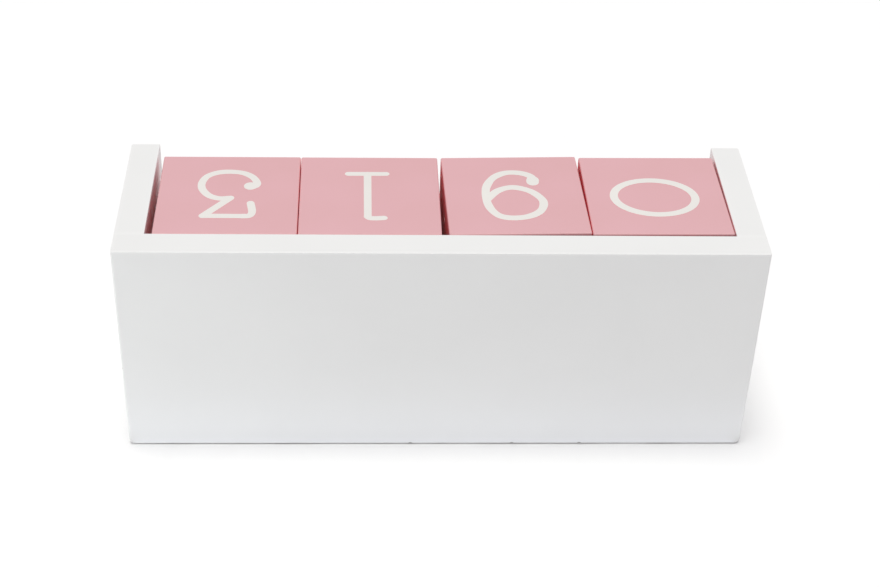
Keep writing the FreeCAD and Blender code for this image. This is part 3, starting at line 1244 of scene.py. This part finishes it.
@dataclass
class Case(Joinery):
    """The painted box: boards with their nails."""

    wood: tuple[Wooden, ...] = (
        Wooden("back_board", BACK_PAINT),
        Wooden("left_side_board", CASE_PAINT, Grain.ALONG_Y),
        Wooden("right_side_board", CASE_PAINT, Grain.ALONG_Y),
        Wooden("cube_shelf", WHITE_PAINT),
        Wooden("bottom_board", WHITE_PAINT),
    )
    metal: tuple[str, ...] = ("back_board_brads", "shelf_brads", "bottom_board_brads")


@dataclass
class Drawer(Joinery):
    """The drawer under the cubes, painted where it shows when shut, with its knob."""

    wood: tuple[Wooden, ...] = (
        Wooden("drawer_front", WHITE_PAINT),
        Wooden("drawer_knob", WHITE_PAINT, Grain.ALONG_Y),
        Wooden("drawer_left_side", DRAWER_WOOD, Grain.ALONG_Y),
        Wooden("drawer_right_side", DRAWER_WOOD, Grain.ALONG_Y),
        Wooden("drawer_back", DRAWER_WOOD),
        Wooden("drawer_floor", FLOOR_PLY),
    )
    metal: tuple[str, ...] = ("drawer_brads", "knob_screw", "knob_washer")


@dataclass
class NumberCube:
    """One loose cube with a number on each face."""

    body: str
    top: Print
    front: int
    others: tuple[int, int, int, int]  # back, right, left and under
    seed: int
    upside_down: tuple[Face, ...] = ()
    mostly_right: float = 0.9  # X of a normal, above which a face may be the right side

    @property
    def node(self) -> str:
        """The cube's CAD node."""
        return f"{self.body}_cube"

    def block(self) -> Block:
        """Finds how the cube stands.

        Returns:
            The cube's own box, with the turn of its largest face towards +X.
        """
        low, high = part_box(self.node)
        edge = high.z - low.z
        sides = [p for p in frame["nodes"][self.node].data.polygons if p.normal.x > self.mostly_right]
        right = max(sides, key=lambda p: p.area).normal
        return Block((low + high) / 2, Vector((edge, edge, edge)) / 2, math.atan2(right.y, right.x))

    def build(self, printer: NumberPrinter) -> None:
        """Paints the cube and prints its numbers.

        Args:
            printer: What prints the numbers.
        """
        block = self.block()
        dress(self.node, PINK_PAINT.make(self.body, block))
        prints = [self.top, Print(Face.FRONT, self.front)]
        for face, number in zip((Face.BACK, Face.RIGHT, Face.LEFT, Face.UNDER), self.others):
            prints.append(Print(face, number, 180.0 if face in self.upside_down else 0.0))
        values = {
            "Cube Edge": block.half.z * 2,
            "Cube Centre": block.middle,
            "Cube Turn": block.turn,
            "Seed": self.seed,
            "Paint": NUMBER_PAINT.make(self.body, block),
        }
        piece = printer.print_on(f"{self.body}_numbers", prints, values)
        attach(piece, self.body)
        log.info("%s: %d faces", piece.name, len(piece.data.polygons))


# ---- studio ----


@dataclass
class Lamp:
    """A soft lamp with a straight-sided face."""

    name: str
    place: Triple
    aim: Triple
    size: Point
    power: float  # in watts
    colour: Triple = (0.745, 0.82, 1.0)

    def build(self) -> None:
        """Hangs the lamp and points it at its aim."""
        light = bpy.data.lights.new(self.name, "AREA")
        light.shape = "RECTANGLE"
        light.size, light.size_y = self.size
        light.energy = self.power
        light.color = self.colour
        item = add_object(self.name, light)
        item.location = self.place
        item.rotation_euler = (Vector(self.aim) - Vector(self.place)).to_track_quat("-Z", "Y").to_euler()
        item.visible_camera = False
        log.info("lamp %s", self.name)


@dataclass
class Skylight:
    """A wide soft window overhead, so far off that it lights the whole floor alike."""

    towards: Triple = (0.05, 0.0, 1.0)
    breadth: float = 24.0  # degrees of sky that it fills
    strength: float = 1.77
    colour: Triple = (1.0, 0.998, 0.96)

    def build(self) -> None:
        """Hangs the light."""
        light = bpy.data.lights.new("skylight", "SUN")
        light.angle = math.radians(self.breadth)
        light.energy = self.strength
        light.color = self.colour
        add_object("skylight", light).rotation_euler = Vector(self.towards).to_track_quat("Z", "Y").to_euler()
        log.info("skylight")


@dataclass
class Studio:
    """The pale floor, the room's even light and the lamps."""

    floor_half: float = 6.0
    room_light: float = 0.558
    room_colour: Colour = (0.973, 0.963, 1.0, 1.0)
    backdrop: float = 1.05
    skylight: Skylight = field(default_factory=Skylight)
    lamps: tuple[Lamp, ...] = (
        Lamp("low_card", (0.27, 0.18, 0.012), (0.09, 0.034, 0.0), (0.10, 0.10), 0.137, (0.92, 1.0, 0.99)),
        Lamp("floor_card", (0.0, 0.048, 0.002), (0.0, 0.0481, 1.0), (0.30, 0.018), 0.0055),
        Lamp("foot_card", (0.0, 0.0363, 0.0006), (0.0, 0.0364, 1.0), (0.222, 0.003), 0.00105),
    )

    def build(self) -> None:
        """Lays the floor, lights the room and hangs the lamps."""
        half = self.floor_half
        mesh = bpy.data.meshes.new("floor")
        corners = [(-half, -half, 0), (half, -half, 0), (half, half, 0), (-half, half, 0)]
        mesh.from_pydata(corners, [], [(0, 1, 2, 3)])
        mesh.materials.append(PAPER.make("backdrop_paper", Block(Vector(), Vector((half, half, 0.0)))))
        floor = add_object("floor", mesh)
        self.light_room()
        self.skylight.build()
        for lamp in self.lamps:
            lamp.build()
        view = bpy.context.scene.view_settings
        view.view_transform = "Standard"
        view.look = "None"

    def light_room(self) -> None:
        """Gives the room an even light, and a white backdrop behind the floor."""
        world = bpy.data.worlds.new("studio")
        world.use_nodes = True
        world.node_tree.nodes.clear()
        bench = Bench(world.node_tree)
        room = bench.get("ShaderNodeBackground", {"Color": self.room_colour, "Strength": self.room_light})
        paper = bench.get("ShaderNodeBackground", {"Color": (1, 1, 1, 1), "Strength": self.backdrop})
        seen = bench.add("ShaderNodeLightPath").outputs["Is Camera Ray"]
        mix = bench.get("ShaderNodeMixShader", {0: seen, 1: room, 2: paper})
        bench.add("ShaderNodeOutputWorld", {"Surface": mix})
        bpy.context.scene.world = world


@dataclass
class Viewpoint:
    """The camera behind and above the calendar."""

    place: Triple = (0.027584, 0.517131, 0.430109)
    heading: float = 176.8314  # degrees round +Z from looking along +Y
    dip: float = 36.7174  # degrees below level
    roll: float = 2.0710  # degrees
    lens: float = 71.077  # millimetres
    sensor: float = 36.0  # millimetres across
    sight: Point = (0.01, 50.0)  # nearest and farthest that it sees

    def build(self) -> None:
        """Sets the camera up and makes it the scene's own."""
        camera = bpy.data.cameras.new("camera")
        camera.sensor_fit = "HORIZONTAL"
        camera.sensor_width = self.sensor
        camera.lens = self.lens
        camera.clip_start, camera.clip_end = self.sight
        item = add_object("camera", camera)
        turn = Matrix.Rotation(math.radians(self.heading), 4, "Z")
        tilt = Matrix.Rotation(math.radians(90 - self.dip), 4, "X")
        cant = Matrix.Rotation(math.radians(self.roll), 4, "Z")
        item.matrix_world = Matrix.Translation(self.place) @ turn @ tilt @ cant
        bpy.context.scene.camera = item
        log.info("camera at %s", self.place)


def main() -> None:
    """Builds the calendar's looks, the studio and the camera."""
    logging.basicConfig(level=logging.INFO, format="%(name)s: %(message)s")
    Viewpoint().build()
    Studio().build()
    Case().build()
    Drawer().build()
    printer = NumberPrinter(NumberStencil())
    zero = Print(Face.TOP, 0, turn=90, nudge=(0.37, 2.1), loose=0)
    nine = Print(Face.TOP, 6, turn=180, loose=0)
    cubes = (
        NumberCube("month_tens", zero, 1, (2, 3, 4, 5), seed=3),
        NumberCube("month_units", nine, 1, (0, 7, 2, 8), seed=5, upside_down=(Face.RIGHT,)),
        NumberCube("day_tens", Print(Face.TOP, 1, loose=0), 2, (0, 6, 7, 8), seed=7),
        NumberCube("day_units", Print(Face.TOP, 3, loose=0), 4, (0, 1, 2, 5), seed=9),
    )
    for cube in cubes:
        cube.build(printer)
    printer.clear_up()


if __name__ == "__main__":
    main()
